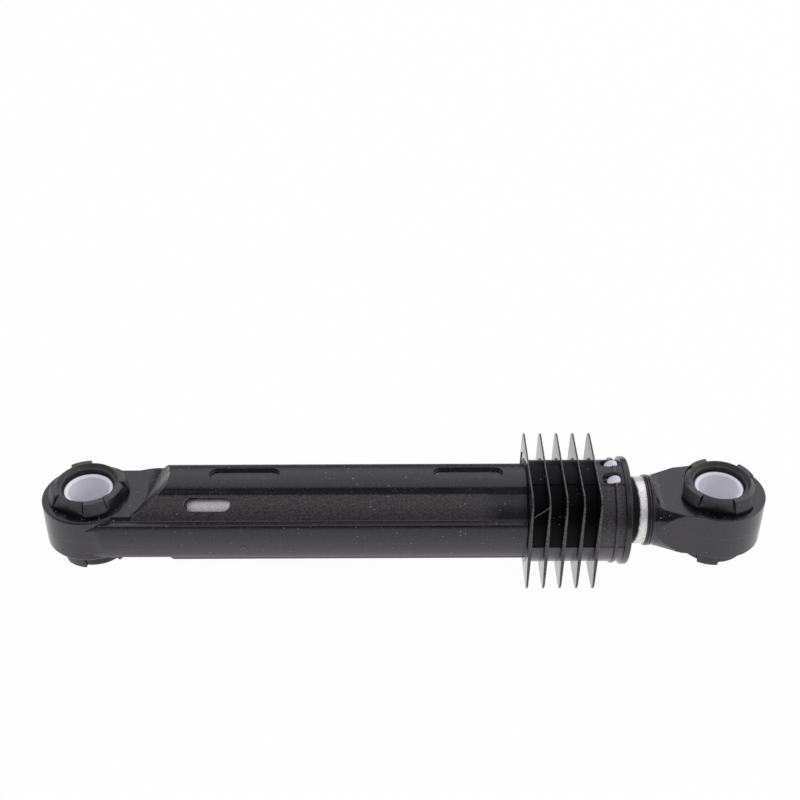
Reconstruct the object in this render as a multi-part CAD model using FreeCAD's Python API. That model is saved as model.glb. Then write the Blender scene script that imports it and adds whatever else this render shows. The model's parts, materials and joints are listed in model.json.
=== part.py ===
"""Friction damper for a washing machine's tub, lying along X and nearly closed.

Frame: origin at the centre of the housing's pin bore, X along the damper towards the rod
eye, Z along both pin bores, Y across. All sizes are in millimetres.
"""
import math
import os

import FreeCAD
import Part

Vec = FreeCAD.Vector
ORIGIN = Vec(0, 0, 0)
ALONG = Vec(1, 0, 0)
UPRIGHT = Vec(0, 0, 1)

# Pin sleeves, pressed into the rubber bushes
PIN_BORE_R = 6.0
SLEEVE_WALL = 1.1
SLEEVE_LEN = 17.5
SLEEVE_LEAD = 0.5

# Rubber bushes, snapped through the eyes
BUSH_WALL = 2.9
BUSH_RISE = 4.2
BUSH_UNDER_RISE = 5.8
BUSH_MOUTH_FLARE = 1.7
BUSH_LIP = 0.3
BUSH_SHOULDER_REACH = 1.0
BUSH_SHOULDER_DROP = 1.0
BUSH_REACH = 1.3
BUSH_FOOT = 0.9
BUSH_FLAT_REACH = 0.15
BUSH_GROOVE = 0.25
TAB_COUNT = 4
TAB_ANGLE = 34.0
TAB_REACH = 1.4
TAB_FOOT_REACH = 0.45
TAB_DROP = 0.1
HOUSING_BUSH_TURN = 20.0
ROD_BUSH_TURN = 30.0

# Eyes, alike at both ends
EYE_WALL = 3.8
EYE_THICK = 14.3
EYE_EDGE = 0.4

# Plunger tube and what runs on it
TUBE_R = 10.0
TUBE_WALL = 1.0
LINING_THICK = 2.35
LINING_LEN = 23.1
CAGE_WALL = 0.8
CAGE_INNER_FLANGE = 2.2
CAGE_MOUTH_FLANGE = 2.6
CAGE_SET_BACK = 0.8

# Housing body
BORE_GAP = 0.75
BORE_DEPTH = 104.5
BODY_WALL = 2.25
SCOOP_CLEAR = 3.3
SCOOP_RISE = 7.4
SCOOP_HOLLOW = 0.6
BOTTOM_WALL = 1.0
PAD_RISE = 1.5
PAD_UNDER_RISE = 2.1
PAD_HALF = 5.6
PAD_FLARE = 1.0
RIB_RISE = 1.9
RIB_HALF = 5.95
RIB_BLEND = 25.0
RIB_RAMP = 5.3
RIB_RAMP_DROP = 2.2
SLOT_BACK = 0.4
SLOT_LEN = 13.3
SLOT_WIDTH = 4.3
SLOT_CORNER = 2.1
SLOT_TURN = 40.5
RECESS_LEN = 20.3
RECESS_WIDTH = 5.2
RECESS_CORNER = 2.3
RECESS_DEPTH = 1.2
RECESS_PITCH = 65.3
RECESS_END_GAP = 6.8

# Finned sleeve and collar of the housing
COLLAR_WALL = 1.75
SHOULDER_WALL = 1.5
FIN_COUNT = 5
FIN_PITCH = 4.88
FIN_FIRST = 0.6
FIN_RISE = 2.55
FIN_CORNER = 4.0
FIN_THICK = 1.15
FIN_TIP = 0.5
PARTING_DROP = 1.6
PARTING_STEP = 0.2
COLLAR_PAD_RISE = 0.4
COLLAR_PAD_HALF = 5.6
RING_RISE = 0.7
RING_WIDTH = 1.0
RING_SET_BACK = 3.8
FLANGE_RISE = 1.05
FLANGE_WIDTH = 1.9
FLANGE_EDGE = 0.3
WINDOW_LEN = 5.5
WINDOW_WIDTH = 3.8
WINDOW_CORNER = 1.7
WINDOW_SPREAD = 3.6
WINDOW_SET_BACK = 2.7
LUG_LEN = 3.9
LUG_PROUD = 1.6
LUG_NOSE = 0.5
LUG_RAMP = 2.2
LUG_RELIEF = 2.4

# Guide plug at the tube's inner end
CLOSED_GAP = 2.0
PLUG_RIM = 2.0
PLUG_RIM_GAP = 0.2
PLUG_SPIGOT = 11.0
PLUG_CUP_WALL = 1.6

# Rod eye
CLOSED_REACH = 5.4
NECK_LEN = 21.9
NECK_STEP = 0.45
BEAD_RISE = 0.12
BEAD_WIDTH = 0.8
FLAT_SET_BACK = 16.8
FLAT_FILLET = 3.3
NECK_SPREAD = 1.0
ROD_SPIGOT = 15.0
ROD_CUP_WALL = 2.2
ROD_CUP_DEPTH = 12.0

# Clearances
PRESS_CLEAR = 0.02
RUN_CLEAR = 0.08
LUG_CLEAR = 0.2
SINK = 0.5
PAST = 20.0

# Radii that follow from the sizes above
SLEEVE_R = PIN_BORE_R + SLEEVE_WALL
SEAT_R = SLEEVE_R + BUSH_WALL
EYE_R = SEAT_R + EYE_WALL
EYE_HALF = EYE_THICK / 2
TUBE_IN_R = TUBE_R - TUBE_WALL
BORE_R = TUBE_R + BORE_GAP
BODY_R = BORE_R + BODY_WALL
PAD_R = BODY_R + PAD_RISE
PAD_UNDER_R = BODY_R + PAD_UNDER_RISE
RIB_R = BODY_R + RIB_RISE
LINING_IN_R = TUBE_R + RUN_CLEAR
LINING_R = LINING_IN_R + LINING_THICK
CAGE_IN_R = LINING_R + PRESS_CLEAR
CAGE_R = CAGE_IN_R + CAGE_WALL
CHAMBER_R = CAGE_R + PRESS_CLEAR
COLLAR_R = CHAMBER_R + COLLAR_WALL
FIN_HALF = COLLAR_R + FIN_RISE
FLANGE_R = COLLAR_R + FLANGE_RISE
NECK_R = TUBE_R + NECK_STEP

# Stations along the damper that follow from the sizes above
SCOOP_FOOT = EYE_R + SCOOP_CLEAR
BORE_X = SCOOP_FOOT + SCOOP_RISE + BOTTOM_WALL
PLUG_X = BORE_X + CLOSED_GAP
TUBE_X = PLUG_X + PLUG_RIM
CHAMBER_X = BORE_X + BORE_DEPTH
COLLAR_X = CHAMBER_X - SHOULDER_WALL
LINING_X = CHAMBER_X + CAGE_INNER_FLANGE
CAGE_END_X = LINING_X + LINING_LEN + CAGE_MOUTH_FLANGE
MOUTH_X = CAGE_END_X + CAGE_SET_BACK
WINDOW_X = MOUTH_X - WINDOW_SET_BACK - WINDOW_LEN
NECK_X = MOUTH_X + CLOSED_REACH
ROD_X = NECK_X + NECK_LEN


def turned(profile):
    """Solid turned about the damper's axis from a closed outline of (x, radius) points."""
    points = [Vec(x, 0, radius) for x, radius in profile]
    return Part.Face(Part.makePolygon(points + points[:1])).revolve(ORIGIN, ALONG, 360)


def turned_upright(profile, angle=360.0):
    """Solid turned about the Z axis from a closed outline of (radius, z) points."""
    points = [Vec(radius, 0, z) for radius, z in profile]
    return Part.Face(Part.makePolygon(points + points[:1])).revolve(ORIGIN, UPRIGHT, angle)


def rod(radius, x_start, x_end):
    """Plain cylinder along the damper's axis."""
    return Part.makeCylinder(radius, x_end - x_start, Vec(x_start, 0, 0), ALONG)


def turn_over(shape):
    """The same shape half a turn round the damper's axis, for the underside."""
    return shape.rotated(ORIGIN, ALONG, 180)


def pocket(x_start, length, width, corner, z_low, z_high, y=0.0):
    """Upright block with rounded corners in plan: the form of every window and recess."""
    block = Part.makeBox(length, width, z_high - z_low, Vec(x_start, y - width / 2, z_low))
    upright_edges = [e for e in block.Edges if e.Vertexes[0].Z != e.Vertexes[1].Z]
    return block.makeFillet(corner, upright_edges)


def crowned_pad(radius, half_width, flare, wall_r, x_start, x_end):
    """Strip along the top: crowned face, sides sloping out, foot sunk into a round wall."""
    side_z = math.sqrt(radius ** 2 - half_width ** 2)
    foot = half_width + flare
    foot_z = math.sqrt(wall_r ** 2 - foot ** 2) - SINK
    left = Vec(x_start, -half_width, side_z)
    right = Vec(x_start, half_width, side_z)
    crown = Part.Arc(left, Vec(x_start, 0, radius), right).toShape()
    corners = [right, Vec(x_start, foot, foot_z), Vec(x_start, -foot, foot_z), left]
    sides = [Part.makeLine(a, b) for a, b in zip(corners, corners[1:])]
    return Part.Face(Part.Wire([crown] + sides)).extrude(Vec(x_end - x_start, 0, 0))


def side_ribs():
    """Both side ribs as one slab: the front one runs out on the eye, the back one starts past it."""
    over = RIB_R + SINK
    bulge = EYE_R + 0.62 * (over - EYE_R)
    blend_end = Vec(RIB_BLEND, -over, -RIB_HALF)
    eye_front = Vec(0, -EYE_R, -RIB_HALF)
    flank = Part.Arc(blend_end, Vec(0.4 * RIB_BLEND, -bulge, -RIB_HALF), eye_front).toShape()
    corners = [eye_front, Vec(0, 0, -RIB_HALF), Vec(RIB_BLEND, 0, -RIB_HALF),
               Vec(RIB_BLEND, over, -RIB_HALF), Vec(COLLAR_X, over, -RIB_HALF),
               Vec(COLLAR_X, -over, -RIB_HALF), blend_end]
    straight = [Part.makeLine(a, b) for a, b in zip(corners, corners[1:])]
    slab = Part.Face(Part.Wire([flank] + straight)).extrude(Vec(0, 0, 2 * RIB_HALF))
    low = RIB_HALF - RIB_RAMP_DROP
    side = [Vec(0, -over, low), Vec(RIB_RAMP, -over, RIB_HALF), Vec(COLLAR_X, -over, RIB_HALF),
            Vec(COLLAR_X, -over, -RIB_HALF), Vec(RIB_RAMP, -over, -RIB_HALF), Vec(0, -over, -low)]
    ramped = Part.Face(Part.makePolygon(side + side[:1])).extrude(Vec(0, 2 * over, 0))
    return slab.common(ramped).common(rod(RIB_R, 0, COLLAR_X))


def scoop():
    """Clearance over the eye's face: flat floor round the bush, then a slope, a little hollow."""
    foot = Vec(SCOOP_FOOT, 0, EYE_HALF)
    rim = Vec(SCOOP_FOOT + SCOOP_RISE, 0, EYE_HALF + SCOOP_RISE)
    sag = math.sqrt(0.5) * SCOOP_HOLLOW
    middle = Vec(SCOOP_FOOT + SCOOP_RISE / 2 + sag, 0, EYE_HALF + SCOOP_RISE / 2 - sag)
    hollow = Part.Arc(foot, middle, rim).toShape()
    top = PAD_R + SCOOP_RISE + PAST
    corners = [rim, Vec(rim.x, 0, top), Vec(0, 0, top), Vec(0, 0, EYE_HALF), foot]
    straight = [Part.makeLine(a, b) for a, b in zip(corners, corners[1:])]
    return Part.Face(Part.Wire([hollow] + straight)).revolve(ORIGIN, UPRIGHT, 360)


def eye(x):
    """Round eye with eased rims, standing on the pin axis."""
    ring = Part.makeCylinder(EYE_R, EYE_THICK, Vec(x, 0, -EYE_HALF), UPRIGHT)
    rims = [e for e in ring.Edges if isinstance(e.Curve, Part.Circle)]
    return ring.makeChamfer(EYE_EDGE, rims)


def seat(x):
    """Hole through an eye that the rubber bush fills."""
    return Part.makeCylinder(SEAT_R, EYE_THICK + 2, Vec(x, 0, -EYE_HALF - 1), UPRIGHT)


def fins():
    """Row of thin square fins with round corners, drafted thinner towards top and bottom."""
    row = []
    for i in range(FIN_COUNT):
        x = COLLAR_X + FIN_FIRST + i * FIN_PITCH
        square = pocket(-FIN_HALF, 2 * FIN_HALF, 2 * FIN_HALF, FIN_CORNER, x - FIN_THICK, x + FIN_THICK)
        square.rotate(ORIGIN, Vec(0, 1, 0), 90)
        corners = [Vec(x + half, -FIN_HALF, z)
                   for half, z in ((FIN_TIP / 2, FIN_HALF), (FIN_THICK / 2, 0), (FIN_TIP / 2, -FIN_HALF),
                                   (-FIN_TIP / 2, -FIN_HALF), (-FIN_THICK / 2, 0), (-FIN_TIP / 2, FIN_HALF))]
        plate = Part.Face(Part.makePolygon(corners + corners[:1])).extrude(Vec(0, 2 * FIN_HALF, 0))
        row.append(plate.common(square))
    return row


def collar():
    """Sleeve round the friction chamber with its ring rib and end flange."""
    ring_end = MOUTH_X - RING_SET_BACK
    ring_start = ring_end - RING_WIDTH
    flange_start = MOUTH_X - FLANGE_WIDTH
    ring_r = COLLAR_R + RING_RISE
    return turned([(COLLAR_X, 0), (COLLAR_X, COLLAR_R), (ring_start, COLLAR_R),
                   (ring_start, ring_r), (ring_end, ring_r), (ring_end, COLLAR_R),
                   (flange_start, COLLAR_R), (flange_start, FLANGE_R),
                   (MOUTH_X - FLANGE_EDGE, FLANGE_R), (MOUTH_X, FLANGE_R - FLANGE_EDGE),
                   (MOUTH_X, 0)])


def lower_half():
    """Slightly larger lower half of the sleeve, where the two mould halves don't quite meet."""
    x_end = MOUTH_X - FLANGE_WIDTH / 2
    layer = turned([(COLLAR_X, COLLAR_R - SINK), (COLLAR_X, COLLAR_R + PARTING_STEP),
                    (x_end, COLLAR_R + PARTING_STEP), (x_end, COLLAR_R - SINK)])
    return layer.common(Part.makeBox(x_end - COLLAR_X, 2 * FIN_HALF, FIN_HALF - PARTING_DROP,
                                     Vec(COLLAR_X, -FIN_HALF, -FIN_HALF)))


def housing():
    """The black moulding: eye, ribbed body, finned sleeve and collar, bored for the plunger."""
    pad = crowned_pad(PAD_R, PAD_HALF, PAD_FLARE, BODY_R, SCOOP_FOOT, COLLAR_X)
    under_pad = crowned_pad(PAD_UNDER_R, PAD_HALF, PAD_FLARE, BODY_R, SCOOP_FOOT, COLLAR_X)
    collar_pad = crowned_pad(COLLAR_R + COLLAR_PAD_RISE, COLLAR_PAD_HALF, 0.0, COLLAR_R,
                             COLLAR_X, MOUTH_X - FLANGE_WIDTH / 2)
    body = rod(BODY_R, 0, COLLAR_X).fuse(
        [side_ribs(), pad, turn_over(under_pad), collar(), lower_half(), collar_pad,
         turn_over(collar_pad)] + fins())
    body = body.cut([scoop(), turn_over(scoop())]).fuse(eye(0))

    slot = pocket(TUBE_X - SLOT_BACK, SLOT_LEN, SLOT_WIDTH, SLOT_CORNER, TUBE_R / 2, PAD_R + PAST)
    slot.rotate(ORIGIN, ALONG, SLOT_TURN)
    recess_end = COLLAR_X - RECESS_END_GAP
    cuts = [rod(BORE_R, BORE_X, CHAMBER_X + 1), rod(CHAMBER_R, CHAMBER_X, MOUTH_X + 1),
            seat(0), slot, turn_over(slot)]
    for end in (recess_end, recess_end - RECESS_PITCH):
        for radius, side in ((PAD_R, 0), (PAD_UNDER_R, 180)):
            recess = pocket(end - RECESS_LEN, RECESS_LEN, RECESS_WIDTH, RECESS_CORNER,
                            radius - RECESS_DEPTH, radius + 1)
            cuts.append(recess.rotated(ORIGIN, ALONG, side))
    for y in (WINDOW_SPREAD, -WINDOW_SPREAD):
        window = pocket(WINDOW_X, WINDOW_LEN, WINDOW_WIDTH, WINDOW_CORNER,
                        TUBE_R, FLANGE_R + 1, y)
        cuts += [window, turn_over(window)]
    return body.cut(cuts).removeSplitter()


def lug(y):
    """Latch lug that fills its window from behind: low nose, ramp, then proud of the cage."""
    end = WINDOW_X + WINDOW_LEN - LUG_CLEAR
    start = end - LUG_LEN
    block = pocket(start, LUG_LEN, WINDOW_WIDTH - 2 * LUG_CLEAR, WINDOW_CORNER - LUG_CLEAR,
                   TUBE_R, CAGE_R + LUG_PROUD, y)
    side = y - WINDOW_WIDTH
    corners = [Vec(start, side, TUBE_R), Vec(start, side, CAGE_R + LUG_NOSE),
               Vec(start + LUG_RAMP, side, CAGE_R + LUG_PROUD),
               Vec(end, side, CAGE_R + LUG_PROUD), Vec(end, side, TUBE_R)]
    ramp = Part.Face(Part.makePolygon(corners + corners[:1])).extrude(Vec(0, 2 * WINDOW_WIDTH, 0))
    return block.common(ramp).cut(rod(CAGE_IN_R, CHAMBER_X, MOUTH_X))


def lining_cage():
    """White cage that holds the lining in the chamber, latched by lugs in the windows."""
    run_r = TUBE_R + RUN_CLEAR
    lining_end = LINING_X + LINING_LEN
    shell = turned([(CHAMBER_X, run_r), (CHAMBER_X, CAGE_R), (CAGE_END_X, CAGE_R),
                    (CAGE_END_X, run_r), (lining_end, run_r), (lining_end, CAGE_IN_R),
                    (LINING_X, CAGE_IN_R), (LINING_X, run_r)])
    lugs = []
    reliefs = []
    relief_end = WINDOW_X + WINDOW_LEN - LUG_CLEAR - LUG_LEN
    for y in (WINDOW_SPREAD, -WINDOW_SPREAD):
        relief = Part.makeBox(LUG_RELIEF + SINK, WINDOW_WIDTH, COLLAR_R - TUBE_R,
                              Vec(relief_end - LUG_RELIEF, y - WINDOW_WIDTH / 2, TUBE_R))
        lugs += [lug(y), turn_over(lug(y))]
        reliefs += [relief, turn_over(relief)]
    return shell.cut(reliefs).fuse(lugs).removeSplitter()


def friction_lining():
    """Greased foam sleeve that grips the tube and does the damping."""
    x_end = LINING_X + LINING_LEN
    return turned([(LINING_X, LINING_IN_R), (LINING_X, LINING_R),
                   (x_end, LINING_R), (x_end, LINING_IN_R)])


def plunger_tube():
    """Galvanised steel tube."""
    return turned([(TUBE_X, TUBE_IN_R), (TUBE_X, TUBE_R), (NECK_X, TUBE_R), (NECK_X, TUBE_IN_R)])


def guide_plug():
    """Cup in the tube's inner end whose rim guides it in the bore and stops it at full reach."""
    rim_r = BORE_R - PLUG_RIM_GAP
    spigot_r = TUBE_IN_R - RUN_CLEAR
    cup_r = spigot_r - PLUG_CUP_WALL
    spigot_end = TUBE_X + PLUG_SPIGOT
    return turned([(PLUG_X, 0), (PLUG_X, rim_r), (TUBE_X, rim_r), (TUBE_X, spigot_r),
                   (spigot_end, spigot_r), (spigot_end, cup_r), (TUBE_X, cup_r), (TUBE_X, 0)])


def rod_eye():
    """Black moulding on the tube's outer end: beaded neck that spreads into a flat eye."""
    spigot_r = TUBE_IN_R - PRESS_CLEAR
    bead_r = NECK_R + BEAD_RISE
    neck_start = NECK_X + 2 * BEAD_WIDTH
    full_r = math.hypot(EYE_R, EYE_HALF) + SINK
    cone_end = ROD_X - EYE_R / 3
    profile = [(NECK_X - ROD_SPIGOT, 0), (NECK_X - ROD_SPIGOT, spigot_r), (NECK_X, spigot_r),
               (NECK_X, NECK_R)]
    for i in range(2):
        x = NECK_X + i * BEAD_WIDTH
        profile += [(x + 0.25 * BEAD_WIDTH, bead_r), (x + 0.75 * BEAD_WIDTH, bead_r),
                    (x + BEAD_WIDTH, NECK_R)]
    profile += [(neck_start + NECK_SPREAD, NECK_R), (cone_end, full_r),
                (ROD_X + EYE_R + 1, full_r), (ROD_X + EYE_R + 1, 0)]
    stem = turned(profile)

    tangent = math.radians(62)
    touch = Vec(ROD_X - EYE_R * math.cos(tangent), EYE_R * math.sin(tangent), -PAST)
    root = Vec(neck_start, NECK_R + BEAD_RISE, -PAST)
    waist = Vec(0.55 * root.x + 0.45 * touch.x, 0.68 * root.y + 0.32 * touch.y, -PAST)
    tail = Vec(NECK_X - ROD_SPIGOT - 1, NECK_R + BEAD_RISE, -PAST)

    def across(v):
        return Vec(v.x, -v.y, v.z)

    outline = [Part.makeLine(tail, root), Part.Arc(root, waist, touch).toShape(),
               Part.Arc(touch, Vec(ROD_X + EYE_R, 0, -PAST), across(touch)).toShape(),
               Part.Arc(across(touch), across(waist), across(root)).toShape(),
               Part.makeLine(across(root), across(tail)), Part.makeLine(across(tail), tail)]
    plan = Part.Face(Part.Wire(outline)).extrude(Vec(0, 0, 2 * PAST))

    flat_x = ROD_X - FLAT_SET_BACK
    foot = Vec(flat_x, -PAST, EYE_HALF)
    rim = Vec(flat_x - FLAT_FILLET, -PAST, EYE_HALF + FLAT_FILLET)
    slant = math.sqrt(0.5) * FLAT_FILLET
    middle = Vec(flat_x - slant, -PAST, EYE_HALF + FLAT_FILLET - slant)
    past = ROD_X + EYE_R + PAST
    corners = [rim, Vec(rim.x, -PAST, PAST), Vec(past, -PAST, PAST), Vec(past, -PAST, EYE_HALF), foot]
    straight = [Part.makeLine(a, b) for a, b in zip(corners, corners[1:])]
    flat = Part.Face(Part.Wire([Part.Arc(foot, middle, rim).toShape()] + straight))
    flat = flat.extrude(Vec(0, 2 * PAST, 0))

    body = stem.common(plan).cut([flat, turn_over(flat)])
    cup = rod(spigot_r - ROD_CUP_WALL, NECK_X - ROD_SPIGOT - 1, NECK_X - ROD_SPIGOT + ROD_CUP_DEPTH)
    return body.cut([seat(ROD_X), cup]).removeSplitter()


def bush_end(rise, turn):
    """One end of a bush, from the eye's middle up: flared mouth, ringed lip, tabs and flats."""
    barrel_r = SEAT_R - PRESS_CLEAR
    hole_r = SLEEVE_R + PRESS_CLEAR
    sleeve_half = SLEEVE_LEN / 2
    top = EYE_HALF + rise
    mouth_r = SLEEVE_R + BUSH_MOUTH_FLARE
    lip_r = mouth_r + BUSH_LIP
    foot_r = SEAT_R + BUSH_REACH
    foot_z = EYE_HALF + BUSH_FOOT
    step_z = (sleeve_half + top) / 2
    step_r = (SLEEVE_R + mouth_r) / 2
    body = turned_upright([(hole_r, 0), (hole_r, sleeve_half), (step_r - BUSH_GROOVE, step_z),
                           (step_r + BUSH_GROOVE, step_z), (mouth_r, top), (lip_r, top),
                           (lip_r + BUSH_SHOULDER_REACH, top - BUSH_SHOULDER_DROP),
                           (foot_r, foot_z), (foot_r, EYE_HALF), (barrel_r, EYE_HALF),
                           (barrel_r, 0)])

    tab_foot_r = foot_r + TAB_FOOT_REACH
    tab = turned_upright([(mouth_r + BUSH_LIP / 2, top - TAB_DROP), (lip_r + TAB_REACH, top - TAB_DROP),
                          (tab_foot_r, foot_z), (tab_foot_r, EYE_HALF),
                          (barrel_r + BUSH_REACH / 2, EYE_HALF)], TAB_ANGLE)
    tab.rotate(ORIGIN, UPRIGHT, turn - TAB_ANGLE / 2)
    flat_depth = tab_foot_r - SEAT_R
    flat = Part.makeBox(flat_depth, 2 * foot_r, rise, Vec(SEAT_R + BUSH_FLAT_REACH, -foot_r, EYE_HALF))
    pitch = 360 / TAB_COUNT
    flat.rotate(ORIGIN, UPRIGHT, turn + pitch / 2)
    tabs = [tab.rotated(ORIGIN, UPRIGHT, i * pitch) for i in range(TAB_COUNT)]
    flats = [flat.rotated(ORIGIN, UPRIGHT, i * pitch) for i in range(TAB_COUNT)]
    return body.cut(flats).fuse(tabs)


def bush(turn):
    """Rubber bush at the origin; the tabs underneath stand between those on top."""
    under = bush_end(BUSH_UNDER_RISE, turn + 180 / TAB_COUNT).mirror(ORIGIN, UPRIGHT)
    return bush_end(BUSH_RISE, turn).fuse(under).removeSplitter()


def pin_sleeve():
    """White sleeve at the origin that the machine's pin passes through."""
    half = SLEEVE_LEN / 2
    lead_r = PIN_BORE_R + SLEEVE_LEAD
    lead_z = half - SLEEVE_LEAD
    return turned_upright([(PIN_BORE_R, -lead_z), (lead_r, -half), (SLEEVE_R, -half),
                           (SLEEVE_R, half), (lead_r, half), (PIN_BORE_R, lead_z)])


parts = {
    "housing": housing(),
    "housing_bush": bush(HOUSING_BUSH_TURN),
    "housing_sleeve": pin_sleeve(),
    "lining_cage": lining_cage(),
    "friction_lining": friction_lining(),
    "guide_plug": guide_plug(),
    "plunger_tube": plunger_tube(),
    "rod_eye": rod_eye(),
    "rod_bush": bush(ROD_BUSH_TURN).translated(Vec(ROD_X, 0, 0)),
    "rod_sleeve": pin_sleeve().translated(Vec(ROD_X, 0, 0)),
}

os.makedirs("parts", exist_ok=True)
for name, shape in parts.items():
    shape.exportStep(f"parts/{name}.step")
    print(f"{name}: {len(shape.Solids)} solid, {shape.Volume:.0f} mm3, valid {shape.isValid()}")
print(f"pin axes {ROD_X:.2f} apart, stroke {CHAMBER_X - TUBE_X:.2f}, mouth at {MOUTH_X:.2f}")
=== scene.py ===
"""Looks of a washing machine friction damper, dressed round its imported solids.

Metres, in the frame of the solids: X along the damper, Z along the pin bores, Y across.
"""
import json
import math

import bmesh
import bpy
import numpy as np
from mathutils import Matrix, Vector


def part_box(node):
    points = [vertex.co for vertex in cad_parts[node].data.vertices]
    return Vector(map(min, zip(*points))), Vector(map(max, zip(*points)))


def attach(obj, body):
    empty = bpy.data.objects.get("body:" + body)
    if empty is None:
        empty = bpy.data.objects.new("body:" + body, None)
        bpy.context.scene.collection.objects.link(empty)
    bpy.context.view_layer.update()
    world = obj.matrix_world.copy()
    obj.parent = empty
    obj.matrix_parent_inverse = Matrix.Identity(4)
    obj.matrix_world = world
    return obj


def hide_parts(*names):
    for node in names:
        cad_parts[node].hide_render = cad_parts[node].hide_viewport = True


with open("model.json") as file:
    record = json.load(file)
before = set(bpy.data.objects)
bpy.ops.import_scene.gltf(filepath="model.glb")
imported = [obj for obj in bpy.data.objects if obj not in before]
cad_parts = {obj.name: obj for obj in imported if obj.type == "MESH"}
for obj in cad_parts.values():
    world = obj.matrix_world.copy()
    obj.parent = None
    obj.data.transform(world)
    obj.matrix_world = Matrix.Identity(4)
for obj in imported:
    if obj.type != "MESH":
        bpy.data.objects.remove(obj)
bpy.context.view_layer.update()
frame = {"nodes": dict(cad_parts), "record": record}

# Housing: one moulding of black glass-filled polyamide, with the left eye, the ribbed body, five
# thin square fins and the collar. Two mould halves close along its sides, every edge is slightly
# rounded, and the thin rims of the fins are scuffed.
MM = 0.001
EDGE_ROUND = 0.22 * MM
WELD = 0.002 * MM
FLAT_WITHIN = math.radians(0.5)
EDGE_ANGLE = math.radians(25)
SPECK_EDGE = 0.25


def linear(hex_colour):
    """Linear RGBA of an sRGB hex value: a plain share of it near black, its power of 2.4 above."""
    srgb = np.array([int(hex_colour[i:i + 2], 16) for i in (1, 3, 5)]) / 255
    low, high = srgb / 12.92, ((srgb + 0.055) / 1.055) ** 2.4
    return (*np.where(srgb <= 0.04045, low, high), 1.0)


def add_node(tree, kind, inputs=None, **settings):
    """One shader node with its settings; each input takes a value or another node's socket."""
    node = tree.nodes.new(kind)
    for name, value in settings.items():
        setattr(node, name, value)
    for name, value in (inputs or {}).items():
        if isinstance(value, bpy.types.NodeSocket):
            tree.links.new(value, node.inputs[name])
        else:
            node.inputs[name].default_value = value
    return node


def new_material(name, roughness, **constants):
    """Node material with its plain values set: its tree, its shader and the piece's own coordinates."""
    material = bpy.data.materials.new(name)
    material.use_nodes = True
    tree = material.node_tree
    shader = tree.nodes["Principled BSDF"]
    shader.inputs["Roughness"].default_value = roughness
    for socket, value in constants.items():
        shader.inputs[socket.replace("_", " ")].default_value = value
    where = add_node(tree, "ShaderNodeTexCoord").outputs["Object"]
    return material, tree, shader, where


def new_object(name, data):
    """Object of a mesh or a camera, linked into the scene."""
    made = bpy.data.objects.new(name, data)
    bpy.context.scene.collection.objects.link(made)
    return made


def place(piece, body, slot, material, *nodes):
    """Puts a finished piece on its body, with its finish, in place of the solids it stands for."""
    piece.data.materials.clear()
    piece.data.materials.append(material)
    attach(piece, body)
    if nodes:
        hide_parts(*nodes)


def moulded(name, body, slot, material, edge_round, edge_angle=EDGE_ANGLE):
    """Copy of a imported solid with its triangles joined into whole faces, split where they are hollow so
    that none spans a hole, and rounded at each edge whose faces meet at more than the given angle."""
    mesh = frame["nodes"][name].data.copy()
    shape = bmesh.new()
    shape.from_mesh(mesh)
    bmesh.ops.remove_doubles(shape, verts=shape.verts, dist=WELD)
    bmesh.ops.dissolve_limit(shape, angle_limit=FLAT_WITHIN, verts=shape.verts, edges=shape.edges)
    bmesh.ops.connect_verts_concave(shape, faces=shape.faces)
    shape.to_mesh(mesh)
    shape.free()
    mesh.shade_smooth()
    piece = new_object(name + "_moulding", mesh)
    rounding = piece.modifiers.new("rounded_edges", "BEVEL")
    rounding.width = edge_round
    rounding.segments = 2
    rounding.limit_method = "ANGLE"
    rounding.angle_limit = edge_angle
    rounding.use_clamp_overlap = False
    rounding.miter_outer = "MITER_ARC"
    piece.modifiers.new("large_faces_lead", "WEIGHTED_NORMAL").weight = 90
    place(piece, body, slot, material, name)
    return piece


def dust_specks(tree, where, spacing, size):
    """Mask of separate specks: white within a random radius, up to `size`, of scattered points in space;
    a speck's edge softens over the share SPECK_EDGE of that size."""
    cells = add_node(tree, "ShaderNodeTexVoronoi", {"Vector": where, "Scale": 1 / spacing})
    spread = add_node(tree, "ShaderNodeSeparateColor", {"Color": cells.outputs["Color"]})
    radius = add_node(tree, "ShaderNodeMath", {0: spread.outputs[0], 1: size / spacing},
                      operation="MULTIPLY")
    inside = add_node(tree, "ShaderNodeMath", {0: radius.outputs[0], 1: cells.outputs["Distance"]},
                      operation="SUBTRACT")
    edge = add_node(tree, "ShaderNodeMath", {0: inside.outputs[0], 1: spacing / (SPECK_EDGE * size)},
                    operation="MULTIPLY", use_clamp=True)
    return edge.outputs[0]


# Black polyamide, moulded in a polished tool: nearly black in itself, so the eye sees a clear, slightly
# soft reflection of the surround. A sandy film of dust dulls the rounds of the body and the collar.
# Painted shade blackens the pockets between the fins down to the lower mould half's step, taking most
# of their shine; below that step the sleeve is painted lighter grey as painted light from the table, as
# are the open walls that face sideways or down. The mouth is kept black, the fins' rims are scuffed dark
# grey, and the ring rib's scuffs are also a painted highlight along it.
BARE_BLACK, SAND_GREY, FLOOR_LIGHT_GREY, LOW_SLEEVE_LIT_GREY = "#0a0a0b", "#474441", "#4e494e", "#545053"
RIM_DARK, RIM_PALE = "#1d1c1e", "#5e5c60"
FINE_DUST_GREY, CLEAR_DUST_GREY = "#4d4c51", "#96939b"
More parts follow.
